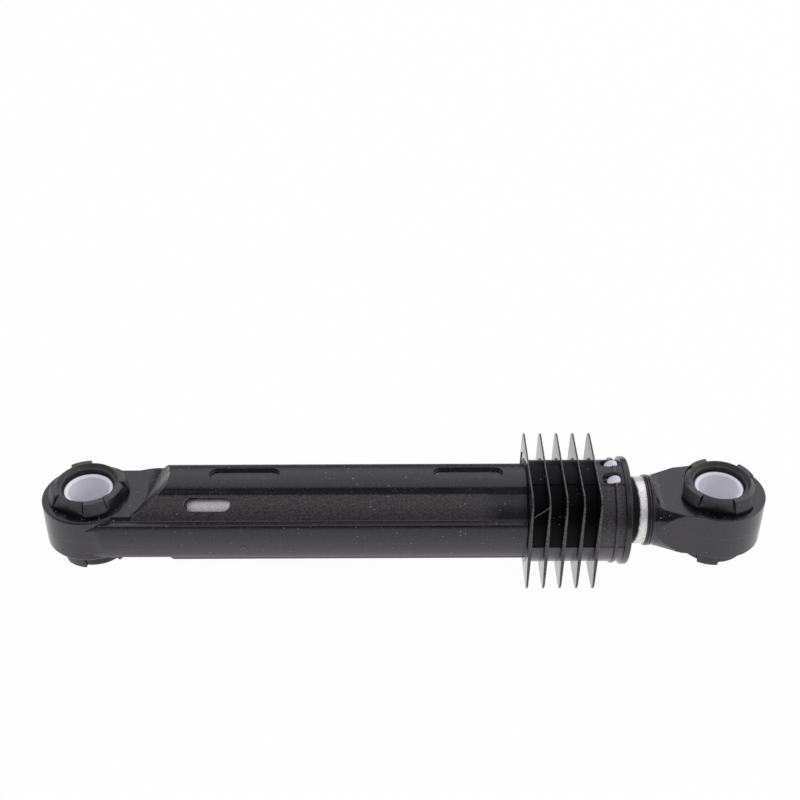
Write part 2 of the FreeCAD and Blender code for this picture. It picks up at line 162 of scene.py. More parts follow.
# Grain and dust are finer on the real moulding; they are drawn as coarse as they need to be to show.
GRAIN = 0.40 * MM
WAVES = 6.0 * MM
CLUSTER = 9.0 * MM
BODY_R, BODY_FROM, BODY_TO = 13.0 * MM, 14.0 * MM, 128.4 * MM
FILM_FADE_FROM, FILM_FADE_TO = 115.0 * MM, 121.0 * MM
COLLAR_R, COLLAR_FROM, COLLAR_TO = 15.02 * MM, 149.4 * MM, 158.0 * MM
FILM_REACH = 0.14 * MM
POCKET_CORE_R = 15.6 * MM
LOWER_HALF_Z = -1.55 * MM
MOUTH_X, MOUTH_REACH = 158.7 * MM, 0.3 * MM
RING_R, RING_FROM, RING_TO = 15.72 * MM, 153.8 * MM, 155.0 * MM
PARTING_Z, PARTING_HALF = -0.25 * MM, 0.13 * MM
FIN_FLAT = 13.57 * MM
FIN_CORNER = 4.0 * MM
SCUFF_DEPTH, SCUFF_FULL = 0.45 * MM, 0.1 * MM
NECK_FROM, NECK_TO = 163.0 * MM, 172.0 * MM
SWELL_DEPTH, GRAIN_DEPTH, SEAM_DEPTH = 0.10 * MM, 0.02 * MM, 0.08 * MM
# Spacing of the specks of each kind of dust, and the largest radius.
FINE_DUST, CLEAR_DUST = (0.55 * MM, 0.17 * MM), (1.3 * MM, 0.24 * MM)
# Levels of noise between which sand gathers, rims are torn, dust crowds and the shine varies.
SAND_BAND, TORN_BAND, CROWD_BAND, SHEEN_BAND = (0.40, 0.66), (0.30, 0.75), (0.45, 0.62), (0.3, 0.7)
# Shares of colour: least sand in the film, most painted floor light, painted floor light on the
# sleeve below the step, and wear and painted highlight on the ring rib.
SAND_LEAST, FLOOR_LIGHT_MOST, SLEEVE_SHARE, RING_WEAR_AND_HIGHLIGHT = 0.12, 0.75, 0.85, 0.6
# How far a face looks up where the painted floor light begins, and where it is full.
FLOOR_LIGHT_BEGINS, FLOOR_LIGHT_FULL = 0.35, -0.25
# Roughness of the bare moulding, and what wiping, dust and the smoother fins change in it.
BARE_SMOOTH, BARE_DULL, NECK_WIPED, FILM_DULLED, FIN_SMOOTHED = 0.16, 0.24, 0.06, 0.2, 0.10
# Specular level of the bare moulding, what the pockets' painted shade takes from it, and how far
# dust varies it on the fins.
BARE_SHINE, SHADE_SHINE_LOSS, FIN_SPECKLE = 0.5, 0.42, 0.35
polyamide, tree, shader, where = new_material("glass_filled_polyamide", 0.26, IOR=1.55)
grain = add_node(tree, "ShaderNodeTexNoise", {"Vector": where, "Scale": 1 / GRAIN, "Detail": 2.0})
waves = add_node(tree, "ShaderNodeTexNoise", {"Vector": where, "Scale": 1 / WAVES, "Detail": 2.0})
drift = add_node(tree, "ShaderNodeTexNoise", {"Vector": where, "Scale": 1 / CLUSTER, "Detail": 1.0})
spot = add_node(tree, "ShaderNodeSeparateXYZ", {"Vector": where})
across = add_node(tree, "ShaderNodeVectorMath", {0: where, 1: (0.0, 1.0, 1.0)}, operation="MULTIPLY")
girth = add_node(tree, "ShaderNodeVectorMath", {0: across.outputs[0]}, operation="LENGTH").outputs["Value"]


def stretch(low, high):
    """Mask that is white between two stations along the damper."""
    return add_node(tree, "ShaderNodeMath", {0: spot.outputs["X"], 1: (low + high) / 2,
                                             2: (high - low) / 2}, operation="COMPARE").outputs[0]


def round_stretch(radius, low, high):
    """Mask that is white on a round of this radius about the damper's axis, between two stations."""
    on_round = add_node(tree, "ShaderNodeMath", {0: girth, 1: radius, 2: FILM_REACH}, operation="COMPARE")
    return add_node(tree, "ShaderNodeMath", {0: on_round.outputs[0], 1: stretch(low, high)},
                    operation="MULTIPLY").outputs[0]


thinning = add_node(tree, "ShaderNodeMapRange", {"Value": spot.outputs["X"], "From Min": FILM_FADE_TO,
                                                 "From Max": FILM_FADE_FROM})
body_film = add_node(tree, "ShaderNodeMath", {0: round_stretch(BODY_R, BODY_FROM, BODY_TO),
                                              1: thinning.outputs[0]}, operation="MULTIPLY")
filmed = add_node(tree, "ShaderNodeMath", {0: body_film.outputs[0],
                                           1: round_stretch(COLLAR_R, COLLAR_FROM, COLLAR_TO)},
                  operation="MAXIMUM")
pockets = stretch(BODY_TO, COLLAR_FROM)
core = add_node(tree, "ShaderNodeMath", {0: girth, 1: POCKET_CORE_R}, operation="LESS_THAN")
upper = add_node(tree, "ShaderNodeMath", {0: spot.outputs["Z"], 1: LOWER_HALF_Z}, operation="GREATER_THAN")
# Painted shade: the sleeve in the pockets between the fins, above the lower mould half's step.
pocket_core = add_node(tree, "ShaderNodeMath", {0: pockets, 1: core.outputs[0]}, operation="MULTIPLY")
pocket_shade = add_node(tree, "ShaderNodeMath", {0: pocket_core.outputs[0], 1: upper.outputs[0]},
                  operation="MULTIPLY")
fins = add_node(tree, "ShaderNodeMath", {0: pockets, 1: pocket_core.outputs[0]}, operation="SUBTRACT")
mouth = stretch(MOUTH_X - MOUTH_REACH, MOUTH_X + MOUTH_REACH)
shut_in = add_node(tree, "ShaderNodeMath", {0: fins.outputs[0], 1: pocket_shade.outputs[0]}, operation="ADD")
kept_bare = add_node(tree, "ShaderNodeMath", {0: shut_in.outputs[0], 1: mouth}, operation="MAXIMUM")
open_air = add_node(tree, "ShaderNodeMath", {0: 1.0, 1: kept_bare.outputs[0]}, operation="SUBTRACT")
sand = add_node(tree, "ShaderNodeMapRange", {"Value": grain.outputs["Fac"], "From Min": SAND_BAND[0],
                                             "From Max": SAND_BAND[1], "To Min": SAND_LEAST})
film = add_node(tree, "ShaderNodeMath", {0: filmed.outputs[0], 1: sand.outputs[0]}, operation="MULTIPLY")
sanded = add_node(tree, "ShaderNodeMix", {"Factor": film.outputs[0], "A": linear(BARE_BLACK),
                                          "B": linear(SAND_GREY)}, data_type="RGBA")
# Painted light from the table: walls that face sideways or down are painted lighter grey, as if lit
# from below; what faces up keeps the moulding's own colour.
surface = add_node(tree, "ShaderNodeNewGeometry")
facing = add_node(tree, "ShaderNodeSeparateXYZ", {"Vector": surface.outputs["Normal"]})
floor_light = add_node(tree, "ShaderNodeMapRange", {"Value": facing.outputs["Z"], "From Min": FLOOR_LIGHT_BEGINS,
                                             "From Max": FLOOR_LIGHT_FULL, "To Max": FLOOR_LIGHT_MOST})
open_floor_light = add_node(tree, "ShaderNodeMath", {0: floor_light.outputs[0], 1: open_air.outputs[0]},
                      operation="MULTIPLY")
floor_lit = add_node(tree, "ShaderNodeMix", {"Factor": open_floor_light.outputs[0], "A": sanded.outputs["Result"],
                                         "B": linear(FLOOR_LIGHT_GREY)}, data_type="RGBA")
# Painted light from the table: the sleeve below the lower mould half's step is painted lighter grey.
sleeve_core = add_node(tree, "ShaderNodeMath", {0: stretch(BODY_TO, COLLAR_TO), 1: core.outputs[0]},
                       operation="MULTIPLY")
under_step = add_node(tree, "ShaderNodeMath", {0: upper.outputs[0], 1: -SLEEVE_SHARE, 2: SLEEVE_SHARE},
                      operation="MULTIPLY_ADD")
low_sleeve = add_node(tree, "ShaderNodeMath", {0: sleeve_core.outputs[0], 1: under_step.outputs[0]},
                      operation="MULTIPLY")
greyed = add_node(tree, "ShaderNodeMix", {"Factor": low_sleeve.outputs[0], "A": floor_lit.outputs["Result"],
                                          "B": linear(LOW_SLEEVE_LIT_GREY)}, data_type="RGBA")
# Distance past the fins' flat sides, taken round their corners: it is largest at their rims.
folded = add_node(tree, "ShaderNodeVectorMath", {0: where}, operation="ABSOLUTE")
past = add_node(tree, "ShaderNodeVectorMath", {0: folded.outputs[0], 1: (1.0, FIN_FLAT, FIN_FLAT)},
                operation="SUBTRACT")
outside = add_node(tree, "ShaderNodeVectorMath", {0: past.outputs[0], 1: (0.0, 0.0, 0.0)},
                   operation="MAXIMUM")
reach = add_node(tree, "ShaderNodeVectorMath", {0: outside.outputs[0]}, operation="LENGTH")
rim = add_node(tree, "ShaderNodeMapRange", {"Value": reach.outputs["Value"],
                                            "From Min": FIN_CORNER - SCUFF_DEPTH,
                                            "From Max": FIN_CORNER - SCUFF_FULL})
torn = add_node(tree, "ShaderNodeMapRange", {"Value": grain.outputs["Fac"], "From Min": TORN_BAND[0],
                                             "From Max": TORN_BAND[1]})
tear = add_node(tree, "ShaderNodeMix", {"Factor": torn.outputs[0], "A": linear(RIM_DARK),
                                        "B": linear(RIM_PALE)}, data_type="RGBA")
# The ring rib's scuffs also stand as a painted highlight along its rounded edge.
ring_wear_and_highlight = add_node(tree, "ShaderNodeMath", {0: round_stretch(RING_R, RING_FROM, RING_TO),
                                              1: RING_WEAR_AND_HIGHLIGHT}, operation="MULTIPLY")
wear_and_highlight = add_node(tree, "ShaderNodeMath", {0: rim.outputs[0], 1: ring_wear_and_highlight.outputs[0]}, operation="MAXIMUM")
scuffed = add_node(tree, "ShaderNodeMix", {"Factor": wear_and_highlight.outputs[0], "A": greyed.outputs["Result"],
                                           "B": tear.outputs["Result"]}, data_type="RGBA")
fine_dust = add_node(tree, "ShaderNodeMath", {0: dust_specks(tree, where, *FINE_DUST),
                                              1: open_air.outputs[0]}, operation="MULTIPLY")
powdered = add_node(tree, "ShaderNodeMix", {"Factor": fine_dust.outputs[0], "A": scuffed.outputs["Result"],
                                            "B": linear(FINE_DUST_GREY)}, data_type="RGBA")
crowd = add_node(tree, "ShaderNodeMapRange", {"Value": drift.outputs["Fac"], "From Min": CROWD_BAND[0],
                                              "From Max": CROWD_BAND[1]})
clear_dust = add_node(tree, "ShaderNodeMath", {0: dust_specks(tree, where, *CLEAR_DUST),
                                               1: crowd.outputs[0]}, operation="MULTIPLY")
dusty = add_node(tree, "ShaderNodeMix", {"Factor": clear_dust.outputs[0], "A": powdered.outputs["Result"],
                                         "B": linear(CLEAR_DUST_GREY)}, data_type="RGBA")
tree.links.new(dusty.outputs["Result"], shader.inputs["Base Color"])
# The neck is wiped bright by the grease and the fins' faces are the smoothest; the film is duller than
# the bare moulding, and so is the pockets' painted shade, which also takes most of their shine.
sheen = add_node(tree, "ShaderNodeMapRange", {"Value": waves.outputs["Fac"], "From Min": SHEEN_BAND[0],
                                              "From Max": SHEEN_BAND[1], "To Min": BARE_SMOOTH,
                                              "To Max": BARE_DULL})
wiped = add_node(tree, "ShaderNodeMath", {0: stretch(NECK_FROM, NECK_TO), 1: -NECK_WIPED,
                                          2: sheen.outputs[0]}, operation="MULTIPLY_ADD")
dull = add_node(tree, "ShaderNodeMath", {0: filmed.outputs[0], 1: pocket_shade.outputs[0]}, operation="MAXIMUM")
dulled = add_node(tree, "ShaderNodeMath", {0: dull.outputs[0], 1: FILM_DULLED, 2: wiped.outputs[0]},
                  operation="MULTIPLY_ADD")
polished = add_node(tree, "ShaderNodeMath", {0: fins.outputs[0], 1: -FIN_SMOOTHED, 2: dulled.outputs[0]},
                    operation="MULTIPLY_ADD")
tree.links.new(polished.outputs[0], shader.inputs["Roughness"])
shine = add_node(tree, "ShaderNodeMath", {0: pocket_shade.outputs[0], 1: -SHADE_SHINE_LOSS, 2: BARE_SHINE},
                 operation="MULTIPLY_ADD")
# Dust speckles the shine of the fins' faces.
speckle = add_node(tree, "ShaderNodeMath", {0: torn.outputs[0], 1: 2 * FIN_SPECKLE, 2: -FIN_SPECKLE},
                   operation="MULTIPLY_ADD")
speckled = add_node(tree, "ShaderNodeMath", {0: fins.outputs[0], 1: speckle.outputs[0],
                                             2: shine.outputs[0]}, operation="MULTIPLY_ADD")
tree.links.new(speckled.outputs[0], shader.inputs["Specular IOR Level"])
swell = add_node(tree, "ShaderNodeBump", {"Height": waves.outputs["Fac"], "Strength": 0.15,
                                          "Distance": SWELL_DEPTH})
relief = add_node(tree, "ShaderNodeBump", {"Height": grain.outputs["Fac"], "Strength": 0.2,
                                           "Distance": GRAIN_DEPTH, "Normal": swell.outputs["Normal"]})
# The mould halves meet in a hairline along the sides.
from_parting = add_node(tree, "ShaderNodeMath", {0: spot.outputs["Z"], 1: PARTING_Z}, operation="SUBTRACT")
off_line = add_node(tree, "ShaderNodeMath", {0: from_parting.outputs[0]}, operation="ABSOLUTE")
hairline = add_node(tree, "ShaderNodeMapRange", {"Value": off_line.outputs[0], "From Max": PARTING_HALF})
seam = add_node(tree, "ShaderNodeBump", {"Height": hairline.outputs[0], "Strength": 0.5,
                                         "Distance": SEAM_DEPTH, "Normal": relief.outputs["Normal"]})
tree.links.new(seam.outputs["Normal"], shader.inputs["Normal"])
moulded("housing", "housing", "black_plastic", polyamide, EDGE_ROUND)

# Rubber bushes, one in each eye: black moulded rubber, snapped through the eye. Each end has a
# stepped funnel, a thin lip, four gripping tabs and a flat between each pair of tabs; the tabs
# underneath stand between those on top.
BUSH_COLUMNS = 240
BUSH_CORNER_STEPS = 5
# Shapes are in millimetres here and in the sleeves, the tube and the lint. A step of the funnel is a radius
# and a share of the way from the hole to the lip, a shoulder is a radius and a drop from the lip, and the
# foot is a radius and a height over the eye's face.
EYE_HALF, EYE_CLEAR = 7.15, 0.02
BUSH_TOP, BUSH_UNDER = 11.35, 12.95
BUSH_HOLE = [(7.12, 8.35), (7.45, 8.30), (7.60, 8.75)]
BUSH_FUNNEL = [(7.70, 0.53), (8.20, 0.50)]
BUSH_MOUTH_R, BUSH_LIP_R = 8.81, 9.11
BUSH_SHOULDER = (10.11, 1.0)
TAB_SHOULDER = (10.51, 0.1)
BUSH_FOOT = (11.3, 0.9)
TAB_FOOT_R = 11.75
SLIT_SHOULDER = (9.5, 1.8)
BUSH_FLAT_R = 10.15
BUSH_BARREL_R = 9.98
BUSH_ROUND = 0.14
TAB_HALF_ANGLE = math.radians(17)
TAB_END_ANGLE = math.radians(0.5)
SLIT_ANGLE = math.radians(18.2)
SLIT_HALF = math.radians(0.9)
SLIT_STEEP = 1.6
TAB_PITCH = math.pi / 2
TAB_SPARED = 2.0
END_DEGREES, END_STEPS = 2.8, 17
CUT_MOST = 0.4
rod_x = frame["record"]["mounts"][1]["pos_m"][0]


def rounded(corners, cut, steps):
    """Closed outline with a parabola at each corner: it leaves one side `cut` before the corner,
    heads for the corner and joins the next side `cut` after it (at most CUT_MOST of a side)."""
    sides = np.roll(corners, -1, 0) - corners
    lengths = np.linalg.norm(sides, axis=1, keepdims=True)
    cuts = np.minimum(cut, CUT_MOST * lengths)
    leave = corners - np.roll(sides / lengths * cuts, 1, 0)
    join = corners + sides / lengths * cuts
    t = np.linspace(0, 1, steps)[None, :, None]
    curve = (1 - t) ** 2 * leave[:, None] + 2 * t * (1 - t) * corners[:, None] + t ** 2 * join[:, None]
    return curve.reshape(-1, 2)


def grid_piece(name, points, quads):
    """Smooth mesh of a grid's points, given in millimetres, and of the faces between them."""
    mesh = bpy.data.meshes.new(name)
    mesh.from_pydata(points.reshape(-1, 3) * MM, [], quads.reshape(-1, 4))
    mesh.shade_smooth()
    return new_object(name, mesh)


def ring_surface(name, points):
    """Surface of a closed grid (outline steps, turn steps, xyz), joined to itself both ways round."""
    index = np.arange(points.size // 3).reshape(points.shape[:2])
    along, turned = np.roll(index, -1, 0), np.roll(index, -1, 1)
    both = np.roll(along, -1, 1)
    return grid_piece(name, points, np.stack([index, turned, both, along], -1))


def bush_outline(shoulder, foot_r):
    """Closed (radius, z) section of a bush: down its hole, round the lower end, up its barrel."""
    def end(height):
        """One end from hole to barrel, measured up from the eye's middle."""
        seat = BUSH_HOLE[-1][1]
        steps = [(r, seat + share * (height - seat)) for r, share in BUSH_FUNNEL]
        return BUSH_HOLE + steps + [(BUSH_MOUTH_R, height), (BUSH_LIP_R, height),
                                    (shoulder[0], height - shoulder[1]),
                                    (foot_r, EYE_HALF + BUSH_FOOT[1]), (foot_r, EYE_HALF + EYE_CLEAR),
                                    (BUSH_BARREL_R, EYE_HALF + EYE_CLEAR)]
    lower = [(r, -z) for r, z in end(BUSH_UNDER)]
    return rounded(np.array(lower + end(BUSH_TOP)[::-1]), BUSH_ROUND, BUSH_CORNER_STEPS)


def bush(name, x, turn):
    """Rubber bush about an upright axis: a plain section and one through a tab, mixed by a smooth step
    of the angle from the nearest tab. A deeper section cuts a slit beside each end of a tab, full in its
    middle and nothing at its sides, and a flat cuts the radius back between tabs but spares them. The
    turn steps crowd round the tabs' ends."""
    plain = bush_outline(BUSH_SHOULDER, BUSH_FOOT[0])[:, None]
    tabbed = bush_outline(TAB_SHOULDER, TAB_FOOT_R)[:, None]
    slit = bush_outline(SLIT_SHOULDER, BUSH_FOOT[0])[:, None]
    even = np.linspace(0, 2 * np.pi, BUSH_COLUMNS, endpoint=False)
    ends = turn + np.arange(0, 2 * np.pi, TAB_PITCH / 2)[:, None] + TAB_HALF_ANGLE * np.array([-1, 1])
    near_end = np.radians(np.linspace(-END_DEGREES, END_DEGREES, END_STEPS))
    crowd = (ends[..., None] + near_end) % (2 * np.pi)
    angle = np.unique(np.concatenate([even, crowd.ravel()]).round(5))[None]
    upper = plain[..., 1] > 0
    centre = np.where(upper, turn, turn + TAB_PITCH / 2)
    from_tab = np.abs((angle - centre + TAB_PITCH / 2) % TAB_PITCH - TAB_PITCH / 2)
    t = np.clip((TAB_HALF_ANGLE - from_tab) / TAB_END_ANGLE + 0.5, 0, 1)
    tab = (t * t * (3 - 2 * t))[..., None]
    cut = np.clip(SLIT_STEEP - SLIT_STEEP * np.abs(from_tab - SLIT_ANGLE) / SLIT_HALF, 0, 1)[..., None]
    section = plain * (1 - tab) + tabbed * tab
    section = section * (1 - cut) + slit * cut
    radius, z = section[..., 0], section[..., 1]
    flat_r = BUSH_FLAT_R / np.cos(TAB_PITCH / 2 - from_tab) + TAB_SPARED * tab[..., 0]
    radius = np.minimum(radius, np.maximum(flat_r, BUSH_BARREL_R))
    return ring_surface(name, np.stack([x + radius * np.cos(angle), radius * np.sin(angle), z], -1))


# Black rubber, moulded: matt, cloudy grey where it faces up as painted light from above, and painted
# black on its upright faces as painted shade, with fine pits that are drawn coarse enough to show.
RUBBER_PITS, PIT_DEPTH, RUBBER_CLOUD = 0.5 * MM, 0.05 * MM, 4 * MM
RUBBER_DUST = (1.3 * MM, 0.20 * MM)
TOP_LIGHT_BEGINS, TOP_LIGHT_FULL = 0.1, 0.5
rubber, tree, shader, where = new_material("moulded_rubber", 0.46)
pits = add_node(tree, "ShaderNodeTexNoise", {"Vector": where, "Scale": 1 / RUBBER_PITS, "Detail": 4.0})
cloud = add_node(tree, "ShaderNodeTexNoise", {"Vector": where, "Scale": 1 / RUBBER_CLOUD, "Detail": 3.0})
tone = add_node(tree, "ShaderNodeMix", {"Factor": cloud.outputs["Fac"], "A": linear("#2c2b2c"),
                                        "B": linear("#504f50")}, data_type="RGBA")
surface = add_node(tree, "ShaderNodeNewGeometry")
facing = add_node(tree, "ShaderNodeSeparateXYZ", {"Vector": surface.outputs["Normal"]})
top_light = add_node(tree, "ShaderNodeMapRange", {"Value": facing.outputs["Z"], "From Min": TOP_LIGHT_BEGINS,
                                              "From Max": TOP_LIGHT_FULL})
top_lit = add_node(tree, "ShaderNodeMix", {"Factor": top_light.outputs[0], "A": linear("#0e0e0f"),
                                           "B": tone.outputs["Result"]}, data_type="RGBA")
specks = dust_specks(tree, where, *RUBBER_DUST)
dusty = add_node(tree, "ShaderNodeMix", {"Factor": specks, "A": top_lit.outputs["Result"],
                                         "B": linear("#86848a")}, data_type="RGBA")
tree.links.new(dusty.outputs["Result"], shader.inputs["Base Color"])
relief = add_node(tree, "ShaderNodeBump", {"Height": pits.outputs["Fac"], "Strength": 0.4,
                                           "Distance": PIT_DEPTH})
tree.links.new(relief.outputs["Normal"], shader.inputs["Normal"])
HOUSING_BUSH_TURN, ROD_BUSH_TURN = np.radians([20, 30])
left_bush = bush("housing_bush_rubber", 0.0, HOUSING_BUSH_TURN)
right_bush = bush("rod_bush_rubber", rod_x / MM, ROD_BUSH_TURN)
place(left_bush, "housing", "black_rubber", rubber, "housing_bush")
place(right_bush, "rod", "black_rubber", rubber, "rod_bush")

# Pin sleeves: white acetal tubes that take the machine's pins, turned with a small lead at each end
# and pressed into the bushes.
SLEEVE_BORE, SLEEVE_OUT, SLEEVE_HALF, SLEEVE_LEAD = 6.0, 7.1, 8.75, 0.5
WALL_ROUND, WALL_CORNER_STEPS = 0.15, 4
SLEEVE_COLUMNS = 192


def pin_sleeve(name, x):
    """Sleeve about an upright axis: its closed section carried round a circle."""
    lead = SLEEVE_HALF - SLEEVE_LEAD
    section = rounded(np.array([(SLEEVE_BORE, lead), (SLEEVE_BORE, -lead),
                                (SLEEVE_BORE + SLEEVE_LEAD, -SLEEVE_HALF), (SLEEVE_OUT, -SLEEVE_HALF),
                                (SLEEVE_OUT, SLEEVE_HALF), (SLEEVE_BORE + SLEEVE_LEAD, SLEEVE_HALF)]),
                      WALL_ROUND, WALL_CORNER_STEPS)[:, None]
    angle = np.linspace(0, 2 * np.pi, SLEEVE_COLUMNS, endpoint=False)[None]
    radius, z = section[..., 0], section[..., 1] + 0 * angle
    return ring_surface(name, np.stack([x + radius * np.cos(angle), radius * np.sin(angle), z], -1))


# White acetal: smooth, cool white and a little waxy, with the faintest cloud of handling.
ACETAL_CLOUD = 5 * MM
acetal, tree, shader, where = new_material("white_acetal", 0.25)
cloud = add_node(tree, "ShaderNodeTexNoise", {"Vector": where, "Scale": 1 / ACETAL_CLOUD, "Detail": 2.0})
tone = add_node(tree, "ShaderNodeMix", {"Factor": cloud.outputs["Fac"], "A": linear("#fbfbfe"),
                                        "B": linear("#f2f2f8")}, data_type="RGBA")
tree.links.new(tone.outputs["Result"], shader.inputs["Base Color"])
place(pin_sleeve("housing_pin_sleeve", 0.0), "housing", "white_plastic", acetal, "housing_sleeve")
place(pin_sleeve("rod_pin_sleeve", rod_x / MM), "rod", "white_plastic", acetal, "rod_sleeve")

# Lining cage: a white moulded sleeve pushed into the collar, held by four ramped lugs that show in
# the collar's windows.
CAGE_ROUND = 0.25 * MM
# White moulded plastic, touched by the grease: cloudy from white to pale grey, and duller than the sleeves.
CAGE_CLOUD, CLOUD_DEPTH = 1.2 * MM, 0.05 * MM
cage_plastic, tree, shader, where = new_material("white_moulded_cage", 0.4)
cloud = add_node(tree, "ShaderNodeTexNoise", {"Vector": where, "Scale": 1 / CAGE_CLOUD, "Detail": 3.0})
tone = add_node(tree, "ShaderNodeMix", {"Factor": cloud.outputs["Fac"], "A": linear("#f4f5fb"),
                                        "B": linear("#d3d5de")}, data_type="RGBA")
tree.links.new(tone.outputs["Result"], shader.inputs["Base Color"])
relief = add_node(tree, "ShaderNodeBump", {"Height": cloud.outputs["Fac"], "Strength": 0.15,
                                           "Distance": CLOUD_DEPTH})
tree.links.new(relief.outputs["Normal"], shader.inputs["Normal"])
moulded("lining_cage", "housing", "white_cage_plastic", cage_plastic, CAGE_ROUND)

# Friction lining: a strip of open foam soaked in grease, curled round the tube inside the cage, where
# its grip slows the tube.
FOAM_ROUND = 0.1 * MM
# Greased foam: brown-black and rough, with open cells about half a millimetre wide.
FOAM_CELL, CELL_DEPTH = 0.5 * MM, 0.2 * MM
foam, tree, shader, where = new_material("greased_foam", 0.6)
cells = add_node(tree, "ShaderNodeTexVoronoi", {"Vector": where, "Scale": 1 / FOAM_CELL})
tone = add_node(tree, "ShaderNodeMix", {"Factor": cells.outputs["Distance"], "A": linear("#0d0c0b"),
                                        "B": linear("#2f2a24")}, data_type="RGBA")
tree.links.new(tone.outputs["Result"], shader.inputs["Base Color"])
relief = add_node(tree, "ShaderNodeBump", {"Height": cells.outputs["Distance"], "Strength": 0.6,
                                           "Distance": CELL_DEPTH})
tree.links.new(relief.outputs["Normal"], shader.inputs["Normal"])
moulded("friction_lining", "housing", "lining_foam", foam, FOAM_ROUND)

# Guide plug: a cup of the same black polyamide, moulded and pushed into the tube's inner end. Its rim
# runs in the housing's bore and keeps the tube central.
moulded("guide_plug", "guide", "black_plastic", polyamide, EDGE_ROUND)

# Plunger tube: bright galvanised steel, cold drawn. A brown-black band is drawn on it where the tube
# rests in the collar, reaching out past the mouth furthest on one side and thinning inwards; the end by
# the neck stays bright.
TUBE_OUT, TUBE_IN = 10.0, 9.0
TUBE_COLUMNS = 256
BAND_END = 160.9 * MM
BAND_BULGE = 1.0 * MM
# The side where the band reaches furthest out, as a direction over the tube's radius.
BAND_FACING = (0.0, -0.0766 / MM, 0.0643 / MM)
BAND_RAGGED, BAND_WANDER = 0.4 * MM, 1.5 * MM
BAND_EDGE = 0.3 * MM
BAND_FULL = 6.0 * MM
BAND_FADE = 30.0 * MM
tube_low, tube_high = [corner.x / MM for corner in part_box("plunger_tube")]


def plunger(name):
    """Tube about the damper's axis: its closed wall section carried round a circle."""
    section = rounded(np.array([(tube_low, TUBE_IN), (tube_high, TUBE_IN), (tube_high, TUBE_OUT),
                                (tube_low, TUBE_OUT)]), WALL_ROUND, WALL_CORNER_STEPS)[:, None]
    angle = np.linspace(0, 2 * np.pi, TUBE_COLUMNS, endpoint=False)[None]
    x, radius = section[..., 0] + 0 * angle, section[..., 1]
    return ring_surface(name, np.stack([x, -radius * np.cos(angle), radius * np.sin(angle)], -1))


# Zinc on drawn steel: a bright metal with a fine, cloudy spangle about half a millimetre wide.
SPANGLE, SPANGLE_DEPTH = 0.5 * MM, 0.04 * MM
MOTTLE_BAND, POLISH_BAND = (0.25, 0.75), (0.3, 0.7)
ZINC_SMOOTH, ZINC_DULL = 0.32, 0.50
METAL_SHINE, BAND_LOSS = 0.5, 0.38
zinc, tree, shader, where = new_material("galvanised_steel", 0.3)
patches = add_node(tree, "ShaderNodeTexNoise", {"Vector": where, "Scale": 1 / SPANGLE, "Detail": 3.0})
mottle = add_node(tree, "ShaderNodeMapRange", {"Value": patches.outputs["Fac"], "From Min": MOTTLE_BAND[0],
                                               "From Max": MOTTLE_BAND[1]})
bright = add_node(tree, "ShaderNodeMix", {"Factor": mottle.outputs[0], "A": linear("#bcbbb8"),
                                          "B": linear("#fdfdfd")}, data_type="RGBA")
spot = add_node(tree, "ShaderNodeSeparateXYZ", {"Vector": where})
facing = add_node(tree, "ShaderNodeVectorMath", {0: where, 1: BAND_FACING}, operation="DOT_PRODUCT")
side = add_node(tree, "ShaderNodeMath", {0: facing.outputs["Value"], 1: 0.0}, operation="MAXIMUM")
bulge = add_node(tree, "ShaderNodeMath", {0: side.outputs[0], 1: 2.0}, operation="POWER")
band_end = add_node(tree, "ShaderNodeMath", {0: bulge.outputs[0], 1: BAND_BULGE, 2: BAND_END},
                      operation="MULTIPLY_ADD")
wander = add_node(tree, "ShaderNodeTexNoise", {"Vector": where, "Scale": 1 / BAND_WANDER, "Detail": 3.0})
shift = add_node(tree, "ShaderNodeMath", {0: wander.outputs["Fac"], 1: 2 * BAND_RAGGED,
                                          2: -BAND_RAGGED}, operation="MULTIPLY_ADD")
station = add_node(tree, "ShaderNodeMath", {0: spot.outputs["X"], 1: shift.outputs[0]}, operation="ADD")
inside = add_node(tree, "ShaderNodeMath", {0: band_end.outputs[0], 1: station.outputs[0]},
                  operation="SUBTRACT")
edge = add_node(tree, "ShaderNodeMapRange", {"Value": inside.outputs[0], "From Min": -BAND_EDGE,
                                             "From Max": BAND_EDGE})
fade = add_node(tree, "ShaderNodeMapRange", {"Value": inside.outputs[0],
                                             "From Min": BAND_FULL + BAND_FADE,
                                             "From Max": BAND_FULL})
dark_band = add_node(tree, "ShaderNodeMath", {0: edge.outputs[0], 1: fade.outputs[0]}, operation="MULTIPLY")
banded = add_node(tree, "ShaderNodeMix", {"Factor": dark_band.outputs[0], "A": bright.outputs["Result"],
                                          "B": linear("#0f0c0b")}, data_type="RGBA")
tree.links.new(banded.outputs["Result"], shader.inputs["Base Color"])
metal = add_node(tree, "ShaderNodeMath", {0: 1.0, 1: dark_band.outputs[0]}, operation="SUBTRACT")
tree.links.new(metal.outputs[0], shader.inputs["Metallic"])
band_shine = add_node(tree, "ShaderNodeMath", {0: dark_band.outputs[0], 1: -BAND_LOSS, 2: METAL_SHINE},
                        operation="MULTIPLY_ADD")
tree.links.new(band_shine.outputs[0], shader.inputs["Specular IOR Level"])
polish = add_node(tree, "ShaderNodeMapRange", {"Value": patches.outputs["Fac"], "From Min": POLISH_BAND[0],
                                               "From Max": POLISH_BAND[1], "To Min": ZINC_SMOOTH,
                                               "To Max": ZINC_DULL})
tree.links.new(polish.outputs[0], shader.inputs["Roughness"])
relief = add_node(tree, "ShaderNodeBump", {"Height": patches.outputs["Fac"], "Strength": 0.2,
                                           "Distance": SPANGLE_DEPTH})
tree.links.new(relief.outputs["Normal"], shader.inputs["Normal"])
place(plunger("plunger_steel_tube"), "rod", "galvanised_steel", zinc, "plunger_tube")

# Rod eye: a second moulding of the same black polyamide, pressed on the tube's outer end, with a
# beaded neck that spreads into the flat right eye; the neck meets the eye's wall in a faint edge.
NECK_EDGE_ANGLE = math.radians(20)
moulded("rod_eye", "rod", "black_plastic", polyamide, EDGE_ROUND, NECK_EDGE_ANGLE)

